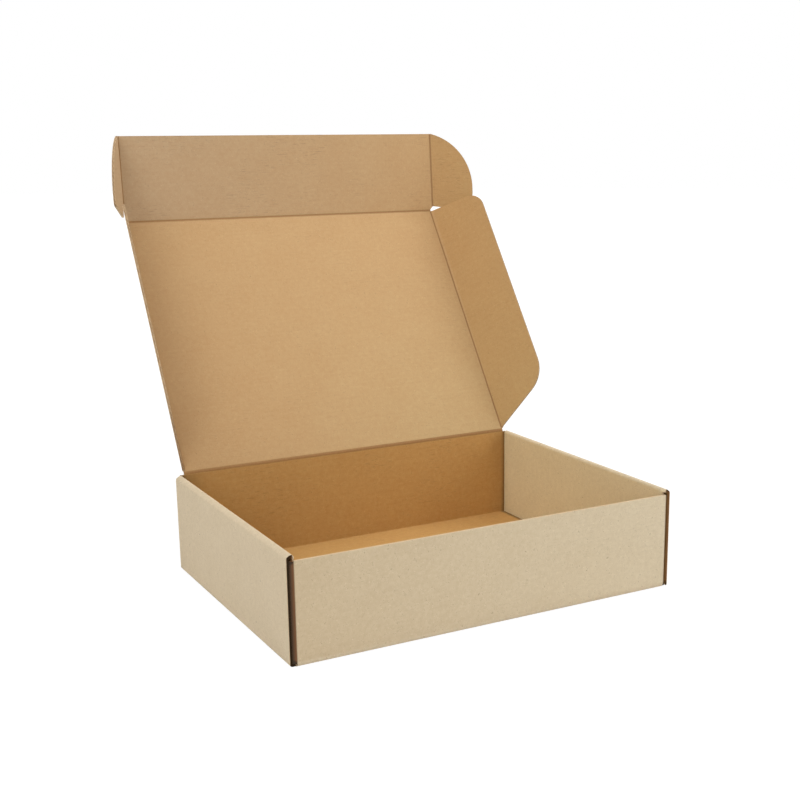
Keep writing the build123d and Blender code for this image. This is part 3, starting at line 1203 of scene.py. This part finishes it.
def lay_floor(stage):
    """A wide pale floor that keeps the box's shadow and fades to white round it."""
    bpy.ops.object.select_all(action="DESELECT")
    bpy.ops.mesh.primitive_circle_add(
        vertices=96, radius=stage.floor_radius, fill_type="NGON", location=(0, 0, -stage.floor_drop)
    )
    floor = bpy.context.object
    floor.name = "floor"
    bpy.ops.object.transform_apply(location=True, rotation=True, scale=True)
    pale = bpy.data.materials.new("pale_floor")
    pale.use_nodes = True
    nodes = Nodes(pale.node_tree)
    shader = nodes.tree.nodes["Principled BSDF"]
    shader.inputs["Base Color"].default_value = (*[stage.floor_shade] * 3, 1)
    shader.inputs["Roughness"].default_value = 0.9
    shader.inputs["Specular IOR Level"].default_value = 0.1
    here = nodes.node("ShaderNodeTexCoord", output="Object")
    away = nodes.node("ShaderNodeVectorMath", {"operation": "LENGTH"}, {0: here}, output="Value")
    limits = {0: away, 1: stage.fade_start, 2: stage.fade_end, 3: stage.floor_white, 4: 1.0}
    share = nodes.node("ShaderNodeMapRange", None, limits)
    end = nodes.tree.nodes["Material Output"]
    white_to_camera(nodes, shader, "ShaderNodeEmission", stage.floor_glow, share, end)
    floor.data.materials.append(pale)


def light_sky(stage):
    """An even light from all round that the camera sees as white."""
    world = bpy.context.scene.world or bpy.data.worlds.new("World")
    bpy.context.scene.world = world
    world.use_nodes = True
    nodes = Nodes(world.node_tree)
    sky = nodes.tree.nodes["Background"]
    sky.inputs["Color"].default_value = WHITE
    sky.inputs["Strength"].default_value = stage.sky
    end = nodes.tree.nodes["World Output"]
    white_to_camera(nodes, sky, "ShaderNodeBackground", 1.0, 1.0, end)


def set_camera(stage):
    """The camera at the viewing angle of the photograph."""
    bpy.ops.object.camera_add()
    camera = bpy.context.object
    level = cos(stage.elevation)
    back = Vector((sin(stage.azimuth) * level, -cos(stage.azimuth) * level, sin(stage.elevation)))
    camera.location = Vector((stage.target_x, 0, stage.target_z)) + back * stage.distance
    turn = Euler((pi / 2 - stage.elevation, 0, stage.azimuth)).to_matrix()
    camera.rotation_euler = (turn @ Matrix.Rotation(stage.roll, 3, "Z")).to_euler()
    camera.data.lens = stage.lens
    camera.data.sensor_width = 36
    camera.data.shift_x = stage.shift_x
    camera.data.shift_y = stage.shift_y
    camera.data.clip_start = 0.01
    bpy.context.scene.camera = camera


class MAILER_OT_stage(bpy.types.Operator):
    """Set the pale floor, the lamps and the camera"""

    bl_idname = "mailer.stage"
    bl_label = "Stage"

    def execute(self, context):
        stage = context.scene.mailer_stage
        lay_floor(stage)
        light_sky(stage)
        for name, size, place in LAMPS:
            lamp(name, getattr(stage, name), size, place)
        set_camera(stage)
        context.scene.view_settings.view_transform = "Standard"
        return {"FINISHED"}


class MAILER_PT_panel(bpy.types.Panel):
    """Lists the settings and the steps"""

    bl_label = "Mailer Box"
    bl_idname = "MAILER_PT_panel"
    bl_space_type = "VIEW_3D"
    bl_region_type = "UI"
    bl_category = "Mailer Box"

    def draw(self, context):
        layout = self.layout
        for operator in OPERATORS:
            layout.operator(operator.bl_idname)
        for group in SETTINGS:
            settings = getattr(context.scene, group)
            box = layout.box()
            for name in settings.bl_rna.properties.keys():
                if name not in ("rna_type", "name"):
                    box.prop(settings, name)


SETTINGS = {
    "mailer_board": BoardSizes,
    "mailer_tray": TraySizes,
    "mailer_lid": LidSizes,
    "mailer_colours": PaperColours,
    "mailer_stage": StageSettings,
}
OPERATORS = (
    MAILER_OT_tray,
    MAILER_OT_lid,
    MAILER_OT_side_flaps,
    MAILER_OT_tuck_flap,
    MAILER_OT_creases,
    MAILER_OT_stage,
)


def register():
    for group in (*SETTINGS.values(), *OPERATORS, MAILER_PT_panel):
        bpy.utils.register_class(group)
    for name, group in SETTINGS.items():
        setattr(bpy.types.Scene, name, PointerProperty(type=group))


def unregister():
    for name in SETTINGS:
        delattr(bpy.types.Scene, name)
    for group in reversed((*SETTINGS.values(), *OPERATORS, MAILER_PT_panel)):
        bpy.utils.unregister_class(group)


def main():
    register()
    bpy.ops.object.select_all(action="DESELECT")
    bpy.ops.mailer.tray()
    bpy.ops.mailer.lid()
    bpy.ops.mailer.side_flaps()
    bpy.ops.mailer.tuck_flap()
    bpy.ops.mailer.creases()
    bpy.ops.mailer.stage()


if __name__ == "__main__":
    main()
